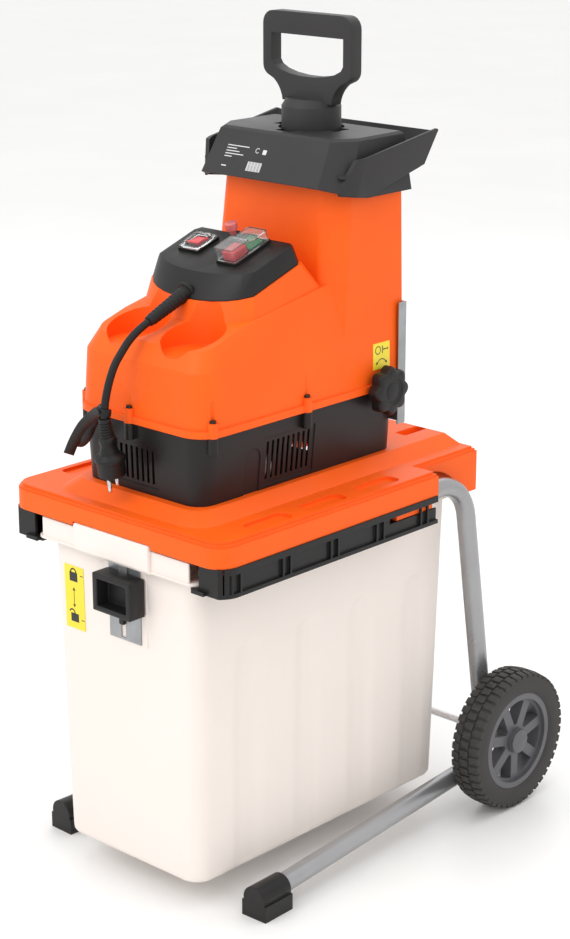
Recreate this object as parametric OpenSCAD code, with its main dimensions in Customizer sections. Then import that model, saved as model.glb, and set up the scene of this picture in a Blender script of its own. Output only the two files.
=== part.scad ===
// Electric garden shredder on a wheeled tube stand with a pull-out collection bin.
// Frame: origin on the floor under the middle, +Z up, -Y is the bin side, +X is the knob side.

/* [Wheels and stand] */
// Radius of a wheel over its tread
wheel_r = 95; // [90:1:97]
// Width of a tyre
tyre_w = 44; // [38:1:46]
// Distance from the middle to a wheel's outer face
wheel_x = 223; // [222:0.5:226]
// Outside diameter of the stand's tube
tube_d = 25; // [22:0.5:25]
// Wall of the stand's tube
tube_wall = 1.5; // [1:0.5:3]
// Diameter of the axle
axle_d = 10; // [8:1:12]

/* [Deck] */
// Half of the deck's width
deck_w = 182.5; // [181:0.5:184]
// Height of the deck's edge above the floor
deck_z = 494; // [492:1:496]
// Depth of the deck's skirt
skirt_h = 30; // [28:1:31]
// Thickness of the moulded walls
wall = 3.5; // [3:0.5:4]

/* [Collection bin] */
// Half of the bin's width at its top
bin_w = 126; // [122:1:127]
// Half of the bin's width at its floor
bin_foot_w = 119; // [112:1:122]
// Height of the bin's floor above the ground
bin_z = 36; // [30:1:45]
// Thickness of the bin's wall
bin_wall = 3; // [2.5:0.5:4]

/* [Housing] */
// Half of the housing's width at the joint between its shells
seam_w = 110.4; // [109:0.2:111]
// Height of that joint
seam_z = 594; // [594:1:594]
// Slope of the control panel in degrees
panel_tilt = 19; // [17:1:21]
// Radius of a cup recess
cup_r = 39; // [34:1:40]

/* [Drive and cutter] */
// Teeth on each pinion
pinion_teeth = 12; // [12:1:12]
// Teeth on each large gear
wheel_teeth = 42; // [42:1:42]
// Tip radius of the cutting roller
roller_r = 40; // [36:1:40]
// Number of blades on the cutting roller
roller_blades = 8; // [6:1:10]
// Radius of the adjustment knob
knob_r = 29.5; // [26:0.5:30]

/* [Cord] */
// Diameter of the mains cord
cord_d = 9.5; // [8:0.5:10]

/* [Hidden] */

$fn = 48;
orange = "#ff6216";
black = "#2a2828";
grey = "#434144";
steel = "#9a9b9d";
eps = 0.01;

// stand
axle_y = 215;
axle_z = wheel_r;
tube_x = 161;
tube_r = tube_d / 2;
splay = 1.7;                  // the stand's legs open a little towards the feet
lean = 9.43;                  // the uprights lean towards the deck
low_bend = [7.1, 52];         // corners of the tube's line, from the axle in y and from the floor in z
top_bend = [-61.2, 464];
tube_front = [-456, 24.1];
tube_end = [-222, 464];
low_bend_r = 38;
top_bend_r = 62;
foot_w = 38.4;
foot_len = 50;
foot_y = -251;
// wheels
rim_r = 66;
hub_r = 17;
spoke_count = 7;
rim_inner_x = wheel_x - 40;
// deck
deck_y = -310;
deck_under = deck_z - 2.5 - wall;
origin_y = 7;                 // from the drawing's origin to the middle of the footprint
side_end_y = 80;
hump_w = 148;
hump_y = 200.5;
hump_skirt_z = 436;
plateau_z = 508.7;
deck_r = 28;
skirt_z = deck_z - skirt_h;
outlet = [-52, -4, 62, 76];   // x0, y0, x1, y1 of the opening that the chips fall through
pocket_x = 157;
pocket_y = [-205, -108, -11];
// rails
rail_z = 428;
rail_ledge = 5;
rail_in = 129;
rail_out = 184;
rail_web_x = 178;
rail_y = -305;
rail_boss_y = [-270, -160, -50];
rail_boss_x = 171;
// bin
bin_y = [-297, 176];
bin_foot_y = [-290.6, 166];
bin_top_z = 433.6;
flange_w = 138;
lip_z = 461;
latch_x = 10;
grip_x = 13;
slot_x = 7;
tongue_top = 465.7;
tab_w = 65;
// housing
base_w = 99.8;
base_y = [-259.5, 91.5];
seam_y = [-264, 92];
shell = 3;
top_slope = 9.6;              // of the body's top, and of its front end below
nose_slope = 17.5;
side_lean = 6.4 / 257;        // how far the sides lean in for each millimetre up
column_top = 868;
cup_x = 46;
cup_y = -213;
cup_floor_z = 680;
boss_at = [[-12, -264], [107, -244], [-107, -244], [111, -87], [-111, -87], [60, 92], [-60, 92]];
boss_deck = [[80, -235], [-80, -235], [80, 76], [-80, 76]];
bolt_back = -175;
boss_r = 6.5;
boss_top = 612;
boss_foot = 574;
// control panel, in its own tilted frame
panel_at = [0, -145.9, 769.4];
reset_at = [-8, 62];
rocker_at = [-45, 36, -2];
box_depth = 24;
// hopper
cap_top_z = 912;
post_r = 37;
post_at = [0, 42];
// drive: shaft centres in x and z, from the roller back to the motor
pressure_angle = 25;
backlash = 0.5;
module_3 = 2.25;
module_2 = 1.75;
module_1 = 1.5;
sum_teeth = (pinion_teeth + wheel_teeth) / 2;
dir_32 = 125;
dir_21 = 12;
dir_10 = 265;
shaft_3 = [-5, 600];
shaft_2 = shaft_3 + module_3 * sum_teeth * [cos(dir_32), sin(dir_32)];
shaft_1 = shaft_2 + module_2 * sum_teeth * [cos(dir_21), sin(dir_21)];
shaft_0 = shaft_1 + module_1 * sum_teeth * [cos(dir_10), sin(dir_10)];
shaft_r = 5;
bearing_r = 11;
bearing_w = 7;
case_box = [-88, 545, 56, 702];  // x0, z0, x1, z1
case_y = [-106, -28];
case_wall = 8;
motor_r = 54;
motor_y = [-238, -107];
// cutter
roller_y = [-3, 73];
roller_shaft_r = 9;
screw_y = 48;
screw_z = 596;
screw_r = 5;
plate_x = [38, 56];
frame_x = [-62, 72];
knob_x = [115, 134];
// cord: hand-laid route from the boot's end to the plug
cord_route = [[-6, -236, 712], [-7, -246, 707], [-8, -256, 701], [-9, -266, 693], [-10, -276, 682],
    [-12, -285, 669], [-13, -292, 654], [-14, -297, 638], [-15, -300, 622], [-15, -301, 606]];
boot_at = [-2, -171, 741];
plug_at = [-15, -301, 606];
plug_tilt = 8;
pin_turn = 109;

// ---------- helpers ----------
function arc(c, r, a0, a1, n) = [for (i = [0:n]) let (a = a0 + (a1 - a0) * i / n) c + r * [cos(a), sin(a)]];
function rrect(x0, y0, x1, y1, r, n = 7) = concat(
    arc([x1 - r, y1 - r], r, 0, 90, n), arc([x0 + r, y1 - r], r, 90, 180, n),
    arc([x0 + r, y0 + r], r, 180, 270, n), arc([x1 - r, y0 + r], r, 270, 360, n));
// outline with square rear corners and round front ones
function front_round(w, y0, y1, r, n = 7) = concat(
    [[w, y1], [-w, y1]], arc([-w + r, y0 + r], r, 180, 270, n), arc([w - r, y0 + r], r, 270, 360, n));
module slab(points, z, h) translate([0, 0, z]) linear_extrude(h) polygon(points);
module block(lo, hi) translate(lo) cube(hi - lo);
// a bar along x, y or z
module along_x(x0, x1, y, z, r) translate([x0, y, z]) rotate([0, 90, 0]) cylinder(h = x1 - x0, r = r);
module along_y(y0, y1, x, z, r) translate([x, y0, z]) rotate([-90, 0, 0]) cylinder(h = y1 - y0, r = r);
module mirrored(side) { if (side > 0) children(); else mirror([1, 0, 0]) children(); }
// an outline drawn in y and z, extruded along x
module side_profile(points, x0, x1) translate([x0, 0, 0]) rotate([90, 0, 90]) linear_extrude(x1 - x0)
    polygon(points);
module panel_frame() translate(panel_at) rotate([panel_tilt, 0, 0]) children();

// ---------- deck ----------
function deck_outline(inset, front_r) = let (w = deck_w - inset, h = hump_w - inset)
    concat([[w, side_end_y - inset], [h, side_end_y - inset], [h, hump_y - inset],
        [-h, hump_y - inset], [-h, side_end_y - inset], [-w, side_end_y - inset]],
        arc([-w + front_r, deck_y + inset + front_r], front_r, 180, 270, 8),
        arc([w - front_r, deck_y + inset + front_r], front_r, 270, 360, 8));

module tube_socket(side) mirrored(side)
    block([145, 3, 448], [deck_w - wall + 0.2, 72, deck_z - wall]);

// moves the drawing so that the middle of the footprint is the origin
module placed() translate([0, origin_y, 0]) children();

module deck_shell() difference() {
    union() {
        slab(deck_outline(0, deck_r), skirt_z, skirt_h - 5);
        slab(deck_outline(2, deck_r - 2), deck_z - 5, 3);
        slab(deck_outline(5, deck_r - 5), deck_z - 2, 3);
        hull() {
            slab(front_round(128, -290, hump_y - 8, 34), deck_z, 1);
            slab(front_round(108, -270, hump_y - 18, 24), plateau_z - 1, 1);
        }
        // the hump's deeper skirt
        block([-hump_w, side_end_y - wall, hump_skirt_z], [hump_w, hump_y, skirt_z + eps]);
    }
    // underside
    slab(deck_outline(wall, deck_r - wall), skirt_z - 1, skirt_h - 1.5 - wall);
    block([-hump_w + wall, side_end_y - wall - 1, hump_skirt_z - 1], [hump_w - wall, hump_y - wall,
        skirt_z + 5]);
    // the chips' way down
    block([outlet[0], outlet[1], skirt_z], [outlet[2], outlet[3], plateau_z + 5]);
    // finger pockets along both edges, and two slots in the hump
    for (side = [-1, 1], y = pocket_y)
        slab(rrect(side * pocket_x - 12, y - 34, side * pocket_x + 12, y + 34, 8), deck_z - 3, 20);
    for (side = [-1, 1])
        slab(rrect(side * 70 - 9, 138, side * 70 + 9, 182, 4), deck_z + 3, 20);
    // notch for the bin's tab
    block([-tab_w - 2, deck_y - 1, skirt_z - 1], [tab_w + 2, deck_y + wall + 1, skirt_z + 5]);
    // arches that clear the stand's bends
    for (side = [-1, 1])
        mirrored(side) translate([hump_w - wall - 1, top_bend[0] + axle_y - top_bend_r + 8,
            top_bend[1] - top_bend_r])
            rotate([0, 90, 0]) cylinder(h = wall + 2, r = top_bend_r + 17);
}

module deck() placed() color(orange) difference() {
    union() {
        deck_shell();
        for (side = [-1, 1]) {
            tube_socket(side);
            for (y = rail_boss_y)
                translate([side * rail_boss_x, y, skirt_z]) cylinder(h = skirt_h - wall, r = 6);
        }
        for (p = boss_deck) translate([p[0], p[1], deck_z - 3]) cylinder(h = plateau_z - deck_z + 1, r = 9);
    }
    for (side = [-1, 1]) {
        mirrored(side) translate([tube_x, axle_y, 0]) rotate([0, 0, splay])
            along_y(tube_end[0], 0, 0, tube_end[1], tube_r + 0.1);
        mirrored(side) translate([tube_x, axle_y, 0]) rotate([0, 0, splay])
            translate([0, bolt_back, 440]) cylinder(h = 49.5, r = 4.1);
        for (y = rail_boss_y)
            translate([side * rail_boss_x, y, skirt_z - 1]) cylinder(h = 22, r = 2);
    }
    for (p = boss_deck) translate([p[0], p[1], deck_z - 12]) cylinder(h = 40, r = 3.1);
}

// ---------- rails ----------
module rail(side) placed() color(black) mirrored(side) difference() {
    intersection() {
        rail_body();
        slab(deck_outline(-1.5, deck_r + 1.5), rail_z - 1, skirt_z - rail_z + 2);
    }
    for (y = rail_boss_y) translate([rail_boss_x, y, skirt_z - 10]) cylinder(h = 20, r = 2.2);
    block([140, -12, 447.5], [rail_web_x + 3, side_end_y + 1, skirt_z + 1]);
}
module rail_body() {
    block([rail_in, rail_y, rail_z], [rail_out, side_end_y - 2, rail_z + rail_ledge]);
    block([rail_web_x, rail_y, rail_z], [rail_web_x + 2.5, side_end_y - 2, skirt_z]);
    block([rail_web_x, rail_y, skirt_z - 8], [rail_out, side_end_y - 2, skirt_z]);
    block([flange_w + 4, rail_y, rail_z], [rail_out, rail_y + 4, skirt_z]);
    for (k = [0:4], step = [0, 13])
        block([rail_web_x, -292 + 84 * k + step, rail_z], [rail_out, -289.5 + 84 * k + step, skirt_z]);
    for (y = rail_boss_y)
        block([rail_boss_x - 8, y - 8, skirt_z - 4], [rail_web_x + 1, y + 8, skirt_z]);
    // the hook at the front end
    block([flange_w - 4, rail_y - 5, rail_z], [flange_w + 16, rail_y + 4, rail_z + rail_ledge]);
}
module rail_left() rail(-1);
module rail_right() rail(1);

module rail_screws() placed() color(steel) for (side = [-1, 1], y = rail_boss_y)
    translate([side * rail_boss_x, y, skirt_z - 4]) {
        translate([0, 0, -3]) cylinder(h = 3, r = 4.5);
        cylinder(h = 20, r = 2);
    }

// ---------- stand ----------
// The tube's line lies in one upright plane: straight, bend, straight, bend, straight.
function turn(a, b) = atan2(b[1] - a[1], b[0] - a[0]);
// a stretch of tube from a to b, solid where bore is 0
module tube_straight(a, b, r, bore) translate([0, a[0], a[1]]) rotate([turn(a, b) - 90, 0, 0])
    linear_extrude(norm(b - a)) difference() {
        circle(r = r);
        if (bore > 0) circle(r = bore);
    }
// bend about centre c from angle a0 to angle a1, both measured in the y-z plane; it runs a hair into the
// straights and is a hair thinner, so that the pieces join along clean edges
module tube_bend(c, bend_r, a0, a1, r, bore) translate([0, c[0], c[1]]) rotate([90, 0, 90]) rotate([0, 0,
    a0 - 0.4])
    rotate_extrude(angle = a1 - a0 + 0.8) translate([bend_r, 0]) difference() {
        circle(r = r - 0.05);
        circle(r = bore - 0.05);
    }
floor_dir = turn(tube_front, low_bend);
up_dir = turn(low_bend, top_bend);
low_cut = low_bend_r * tan((up_dir - floor_dir) / 2);
top_cut = top_bend_r * tan((180 - up_dir) / 2);
low_in = low_bend - low_cut * [cos(floor_dir), sin(floor_dir)];
low_out = low_bend + low_cut * [cos(up_dir), sin(up_dir)];
top_in = top_bend - top_cut * [cos(up_dir), sin(up_dir)];
top_out = top_bend + [-top_cut, 0];
low_c = low_in + low_bend_r * [-sin(floor_dir), cos(floor_dir)];
top_c = top_in + top_bend_r * [-sin(up_dir), cos(up_dir)];
tube_bore = tube_r - tube_wall;
module on_stand(side) mirrored(side) translate([tube_x, axle_y, 0]) rotate([0, 0, splay]) children();
module frame_tube(side) placed() color(steel) on_stand(side) {
    tube_straight(tube_front, low_in, tube_r, tube_bore);
    difference() {
        tube_bend(low_c, low_bend_r, floor_dir - 90, up_dir - 90, tube_r, tube_bore);
        along_x(-30, 30, 0, axle_z, axle_d / 2 + 0.15);
    }
    difference() {
        tube_straight(low_out, top_in, tube_r, tube_bore);
        along_x(-30, 30, 0, axle_z, axle_d / 2 + 0.15);
    }
    tube_bend(top_c, top_bend_r, up_dir - 90, 90, tube_r, tube_bore);
    difference() {
        tube_straight(top_out, tube_end, tube_r, tube_bore);
        translate([0, bolt_back, 440]) cylinder(h = 60, r = 4.1);
    }
}
module frame_tube_left() frame_tube(-1);
module frame_tube_right() frame_tube(1);

module frame_bolts() placed() color(steel) {
    for (side = [-1, 1]) mirrored(side) translate([tube_x, axle_y, 0]) rotate([0, 0, splay])
        translate([0, bolt_back, 442]) {
            cylinder(h = 6, r = 6.5, $fn = 6);
            cylinder(h = 47, r = 4);
        }
    for (p = boss_deck) translate([p[0], p[1], 0]) {
        translate([0, 0, deck_under - 4]) cylinder(h = 4, r = 5.5);
        translate([0, 0, deck_under - 0.1]) cylinder(h = 32, r = 3);
    }
}

module axle() placed() color("silver") along_x(-wheel_x + 2.7, wheel_x - 2.7, axle_y, axle_z, axle_d / 2);

module foot_cap(side) placed() color(black) on_stand(side)
    difference() {
        union() {
            translate([0, foot_y - axle_y, 26]) rotate([-90, 0, 0]) cylinder(h = foot_len, r = 16.6);
            block([-foot_w / 2, foot_y - axle_y, 0], [foot_w / 2, foot_y - axle_y + foot_len, 21]);
            block([-16.6, foot_y - axle_y, 20], [16.6, foot_y - axle_y + foot_len, 26]);
        }
        tube_straight(tube_front, low_in, tube_r + 0.05, 0);
    }
module foot_cap_left() foot_cap(-1);
module foot_cap_right() foot_cap(1);

// ---------- wheels ----------
module tyre(side) placed() color(black) mirrored(side)
    translate([wheel_x - tyre_w, axle_y, axle_z]) rotate([0, 90,
    0])
    rotate_extrude($fn = 96) polygon([[rim_r, 3], [wheel_r - 9, 0], [wheel_r - 2, 4], [wheel_r, 10],
        [wheel_r, tyre_w - 10], [wheel_r - 2, tyre_w - 4], [wheel_r - 9, tyre_w], [rim_r, tyre_w - 3]]);
module tyre_left() tyre(-1);
module tyre_right() tyre(1);

// the opening between two spokes
function spoke_gap(r_out, r_in, half) =
    let (g = 180 / spoke_count, a = g - asin(half / r_out), b = g - asin(half / r_in))
    concat(arc([0, 0], r_out, -a, a, 6), arc([0, 0], r_in, b, -b, 3));
module wheel_rim(side) placed() color("#6e6e73") mirrored(side) translate([rim_inner_x, axle_y, axle_z])
    rotate([0, 90, 0]) difference() {
        union() {
            rotate_extrude($fn = 96) polygon([[rim_r - 8, 0], [rim_r - 0.05, 0], [rim_r - 0.05, 37],
                [rim_r - 8, 37]]);
            translate([0, 0, 14]) cylinder(h = 17, r = rim_r - 7, $fn = 96);
            cylinder(h = 37, r = hub_r);
            translate([0, 0, -8.5]) cylinder(h = 9, r = 10);
        }
        for (k = [0:spoke_count - 1]) rotate([0, 0, 360 / spoke_count * (k + 0.5)])
            translate([0, 0, 10]) linear_extrude(25) polygon(spoke_gap(54, 22, 7));
        translate([0, 0, -10]) cylinder(h = 60, r = axle_d / 2 + 0.08);
    }
module wheel_rim_left() wheel_rim(-1);
module wheel_rim_right() wheel_rim(1);

module hub_cap(side) placed() color("#77777c") mirrored(side) along_x(rim_inner_x + 37.3, wheel_x - 0.5,
    axle_y, axle_z, hub_r - 1);
module hub_cap_left() hub_cap(-1);
module hub_cap_right() hub_cap(1);

// ---------- collection bin ----------
module bin_solid(inset, z0, z1) hull() {
    slab(rrect(-bin_foot_w + inset, bin_foot_y[0] + inset, bin_foot_w - inset, bin_foot_y[1] - inset,
        26 - inset), z0, 1);
    slab(rrect(-bin_w + inset, bin_y[0] + inset, bin_w - inset, bin_y[1] - inset, 24 - inset), z1 - 1, 1);
}
module collection_bin() placed() color("#fef5ee") {
    difference() {
        bin_solid(0, bin_z, bin_top_z + 2);
        bin_solid(bin_wall, bin_z + bin_wall, bin_top_z + 3.5);
    }
    block([latch_x - 36, bin_y[0] - 0.2, 330], [latch_x + 36, bin_y[0] + 2.5, bin_top_z + 1.5]);
    // rim flange, with the slot that the latch's tongue rises through
    translate([0, 0, bin_top_z]) linear_extrude(3) difference() {
        polygon(rrect(-flange_w, bin_y[0] - 11, flange_w, bin_y[1] + 6, 12));
        polygon(rrect(-bin_w + 2, bin_y[0] + 2, bin_w - 2, bin_y[1] - 2, 22));
        translate([latch_x - 9, bin_y[0] - 5.5]) square([18, 9]);
    }
    block([-127, bin_y[0] - 9, bin_top_z + 1], [127, bin_y[0] - 6, lip_z]);
    block([-tab_w, bin_y[0] - 15, bin_top_z - 2], [tab_w, bin_y[0] - 8, lip_z + 1]);
}

module latch_plate() placed() color("silver") difference() {
    block([latch_x - 27, bin_y[0] - 2, 333], [latch_x + 27, bin_y[0] - 0.2, bin_top_z - 0.5]);
    block([slot_x - 4, bin_y[0] - 3, 336], [slot_x + 4, bin_y[0], 384]);
}
module latch_grip() placed() color(black) difference() {
    union() {
        block([grip_x - 32.5, bin_y[0] - 27, 372], [grip_x + 32.5, bin_y[0] - 2.3, 420]);
        block([slot_x - 3.7, bin_y[0] - 2.4, 353], [slot_x + 3.7, bin_y[0] - 0.5, 382]);
        block([slot_x - 3.7, bin_y[0] - 6, 353], [slot_x + 3.7, bin_y[0] - 2.3, 373]);
    }
    block([grip_x - 25, bin_y[0] - 28, 379], [grip_x + 25, bin_y[0] - 8, 413]);
}
module latch_tongue() placed() color("silver")
    block([latch_x - 7, bin_y[0] - 4.2, 420], [latch_x + 7, bin_y[0] - 2.4, tongue_top]);
bin_taper = atan((bin_foot_y[0] - bin_y[0]) / (bin_top_z + 2 - bin_z));
module bin_label() placed() color("#f0dc32")
    translate([0, bin_y[0], bin_top_z + 2]) rotate([bin_taper, 0, 0])
    block([-99, -0.9, -113], [-65, -0.02, -31]);

// ---------- housing ----------
module base_solid(inset, z0, z1) hull() {
    slab(rrect(-base_w + inset, base_y[0] + inset, base_w - inset, base_y[1] - inset, 24 - inset), z0, 1);
    slab(rrect(-seam_w + 2.4 + inset, seam_y[0] + 2 + inset, seam_w - 2.4 - inset, seam_y[1] - 0.5 - inset,
        30 - inset), z1 - 1, 1);
}
module seam_bosses(z0, z1) for (p = boss_at) translate([p[0], p[1], z0]) cylinder(h = z1 - z0, r = boss_r);
module seam_holes(r) for (p = boss_at) translate([p[0], p[1], boss_foot + 3]) cylinder(h = 60, r = r);

module skin_cut(depth) intersection() {
    difference() {
        base_solid(-4, plateau_z, seam_z);
        base_solid(depth, plateau_z - 1, seam_z + 1);
    }
    union() {
        block([-40, seam_y[0] - 5, 518], [32, -230, 569]);
        for (side = [-1, 1]) mirrored(side) {
            block([60, -157, 514], [130, -66, 574]);
            side_profile(concat([[-187, 500], [-161, 500]], arc([-174, 552], 13, 0, 180, 8)), 60, 130);
        }
    }
}
module lower_housing() placed() color(black) difference() {
    union() {
        difference() {
            base_solid(0, plateau_z, seam_z);
            base_solid(shell, plateau_z + shell, seam_z + 1);
        }
        difference() {
            seam_bosses(boss_foot, seam_z);
            base_solid(shell, plateau_z + shell, seam_z + 1);
        }
        for (p = boss_deck) translate([p[0], p[1], plateau_z]) cylinder(h = 14, r = 7);
    }
    skin_cut(1.3);
    seam_holes(2);
    block([outlet[0], outlet[1], plateau_z - 1], [outlet[2], outlet[3], plateau_z + shell + 1]);
    // louvres in the front and in both sides
    for (k = [0:6]) block([-34 + 9 * k, base_y[0] - 8, 523], [-30 + 9 * k, base_y[0] + 8, 564]);
    for (side = [-1, 1], k = [0:8])
        mirrored(side) block([base_w - 8, -150 + 9 * k, 520], [base_w + 12, -146 + 9 * k, 568]);
    along_x(80, 130, screw_y, screw_z, 8);
    for (p = boss_deck) translate([p[0], p[1], plateau_z - 1]) cylinder(h = 20, r = 3.2);
}

// The sloping body, the column and the pedestal of the control box, each grown or shrunk by an inset.
function side_w(z) = seam_w - side_lean * (z - seam_z);
module body_solid(inset) hull() {
    slab(rrect(-seam_w + inset, seam_y[0] + inset, seam_w - inset, seam_y[1] - inset, 32 - inset), seam_z,
        1);
    slab(rrect(-side_w(668) + inset, -259 + inset, side_w(668) - inset, seam_y[1] - inset, 32 - inset),
        668 - inset, 1);
    translate([0, -245, 691 - inset]) rotate([nose_slope, 0, 0])
        slab(rrect(-94 + inset, inset, 94 - inset, 80, 24 - inset), -1, 1);
    translate([0, -167, 715 - inset]) rotate([top_slope, 0, 0])
        slab(rrect(-92 + inset, 0, 92 - inset, 256 - inset, 10), -1, 1);
}
function column_plan(w, front, side, rear) = [[w, front + 2], [w - 6, front], [-w + 6, front], [-w,
    front + 2],
    [-side, front + 26], [-side, rear], [side, rear], [side, front + 26]];
module column_solid(inset) hull() {
    slab(column_plan(95 - inset, -49 + inset, seam_w - inset, seam_y[1] - inset), seam_z, 1);
    slab(column_plan(79 - inset, -25 + inset, side_w(column_top) - inset, seam_y[1] - inset),
        column_top - 1 + inset, 1);
}
// outline on the panel: half-width, rear edge, and where the front arc starts and reaches furthest
function panel_plan(w, rear, corner, front) = concat(
    [[w, corner], [w, rear - 8], [w - 6, rear], [-w + 6, rear], [-w, rear - 8], [-w, corner]],
    front_arc(w - 3, corner - 3, front));
function front_arc(w, side_y, mid_y) = [for (a = [-70:14:70])
    [w * sin(a) / sin(70), mid_y + (side_y - mid_y) * (1 - cos(a)) / (1 - cos(70))]];
module pedestal_solid(inset) hull() {
    panel_frame() slab(panel_plan(87 - inset, 76 - inset, -14, -47 + inset), -box_depth - 1 - inset, 1);
    slab(concat([[94 - inset, 0], [-94 + inset, 0]], front_arc(94 - inset, -166, -196 + inset)), 690, 1);
}
module cups(grow, z0) for (side = [-1, 1]) translate([side * cup_x, cup_y, z0])
    cylinder(h = 60, r = cup_r + grow);

module upper_housing() placed() color(orange) difference() {
    union() {
        difference() {
            union() {
                body_solid(0);
                column_solid(0);
                pedestal_solid(0);
            }
            difference() {
                translate([0, 0, -eps]) union() {
                    body_solid(shell);
                    column_solid(shell);
                    pedestal_solid(shell);
                }
                cups(shell, cup_floor_z - shell);
            }
        }
        // lip over the lower shell, and the screw bosses
        difference() {
            union() {
                slab(rrect(-seam_w - 2.5, seam_y[0] - 2.5, seam_w + 2.5, seam_y[1] + 0.5, 34), seam_z, 9);
                seam_bosses(seam_z, boss_top);
            }
            slab(rrect(-seam_w + shell, seam_y[0] + shell, seam_w - shell, seam_y[1] - shell, 29),
                seam_z - 1, 30);
        }
    }
    cups(0, cup_floor_z);
    seam_holes(2.2);
    along_x(80, 130, screw_y, screw_z, 8);
    // room for the cord's boot
    on_boot() union() {
        translate([0, 0, -2]) cylinder(h = 40, r = 9.4);
        translate([0, 0, 2.6]) cylinder(h = 5, r = 13.4);
    }
    // way for the wires under the control box
    panel_frame() block([-50, 10, -box_depth - 10], [50, 60, -box_depth + 5]);
}

module housing_screws() placed() color("dimgray") for (p = boss_at) translate([p[0], p[1], 0]) {
    translate([0, 0, boss_top]) cylinder(h = 3, r = 4);
    translate([0, 0, boss_foot + 5]) cylinder(h = boss_top - boss_foot - 5 + eps, r = 1.95);
}

module rear_steel_plate() placed() color("#b9bcc0") difference() {
    block([-seam_w - 3.2, 80, 543], [seam_w + 3.2, seam_y[1] + 2.2, 700]);
    block([-seam_w - 1.7, 70, 540], [seam_w + 1.7, seam_y[1] + 0.7, 703]);
    // clears the housing's lip and its two rear bosses
    block([-seam_w - 5, 70, seam_z - 2], [seam_w + 5, seam_y[1] + 0.7, seam_z + 12]);
    for (p = boss_at) translate([p[0], p[1], 560]) cylinder(h = 60, r = boss_r + 0.3);
}

// ---------- hopper ----------
module hood_solid(inset) hull() {
    slab([for (p = [[99, -64], [122, -26], [122, 91], [-122, 91], [-122, -26], [-99, -64]])
        [p[0] - sign(p[0]) * inset, p[1] + (p[1] < 0 ? inset : 0)]], 838, 1);
    slab([for (p = [[91, -25], [110, 6], [108, 91], [-108, 91], [-110, 6], [-91, -25]])
        [p[0] - sign(p[0]) * inset, p[1] + (p[1] < 0 ? inset : 0)]], cap_top_z - 4 - inset, 1);
    slab([for (p = [[88, -20], [106, 8], [104, 88], [-104, 88], [-106, 8], [-88, -20]])
        [p[0] - sign(p[0]) * inset, p[1]]], cap_top_z - 1 - inset, 1);
}
module tray_solid(inset) hull() {
    slab([for (p = [[112, -32], [120, -10], [120, 96], [-120, 96], [-120, -10], [-112, -32]])
        [p[0] - sign(p[0]) * inset, p[1] - sign(p[1]) * inset]], 838, 1);
    slab([for (p = [[120, -30], [136, -4], [136, 128], [126, 138], [-126, 138], [-136, 128], [-136, -4],
        [-120, -30]])
        [p[0] - sign(p[0]) * inset, p[1] - sign(p[1]) * inset]], 920, 1);
}
throat = rrect(-84, -19, 84, 84, 24);
module hopper_cap() placed() color(grey) difference() {
    union() {
        difference() {
            union() {
                intersection() {
                    hood_solid(0);
                    side_profile([[-70, 862], [-28, 849], [8, 842], [92, 842], [92, 930], [-70, 930]],
                        -150, 150);
                }
                difference() {
                    intersection() {
                        tray_solid(0);
                        side_profile([[-34, 848], [-16, 890], [122, 914], [138, 904], [138, 880], [92, 866],
                            [8, 842]], -150, 150);
                    }
                    tray_solid(shell + 1);
                }
            }
            hood_solid(shell);
        }
        // the floor that sits on the column and rises to the rear lip
        intersection() {
            union() {
                hood_solid(1);
                tray_solid(1);
            }
            side_profile([[-60, column_top], [92, column_top], [140, 883], [140, 887], [92, column_top + 4],
                [-60, column_top + 4]], -150, 150);
        }
    }
    slab(throat, column_top - 2, 8);
    // cross-shaped mouth round the pusher
    translate([post_at[0], post_at[1], 880]) {
        cylinder(h = 60, r = post_r + 4);
        for (a = [0, 90]) rotate([0, 0, a]) translate([-52, -13, 0]) cube([104, 26, 60]);
    }
}

module feed_chute() placed() color("#5a5a5c") difference() {
    hull() {
        slab(throat, column_top - 3, 2);
        slab(rrect(-58, -6, 66, 76, 6), 654, 2);
    }
    hull() {
        slab(rrect(-82, -17, 82, 82, 22), column_top - 2, 2);
        slab(rrect(-56, -4, 64, 74, 5), 653, 2);
    }
}

module pusher() placed() color(grey) {
    difference() {
        translate([post_at[0], post_at[1] + 9, 0]) rotate([90, 0, 0]) linear_extrude(18) difference() {
            polygon(concat(arc([-57, 1034], 16, 180, 90, 5), arc([57, 1034], 16, 90, 0, 5),
                arc([59, 984], 14, 0, -60, 4), arc([77, 937], 37, 126, 172, 5),
                arc([-77, 937], 37, 8, 54, 5), arc([-59, 984], 14, 240, 180, 4)));
            polygon(concat([[-59, 1023], [59, 1023]], [for (a = [0:20:180]) [59 * cos(a),
                990 - 17 * sin(a)]]));
        }
    }
    translate([post_at[0], post_at[1], 0]) {
        translate([0, 0, 938]) cylinder(h = 10, r1 = post_r, r2 = post_r - 6);
        translate([0, 0, 890]) cylinder(h = 48.5, r = post_r);
        for (a = [0, 90]) rotate([0, 0, a]) block([-34, -2.5, 730], [34, 2.5, 891]);
        translate([0, 0, 726]) cylinder(h = 5, r = 33);
    }
}

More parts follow.
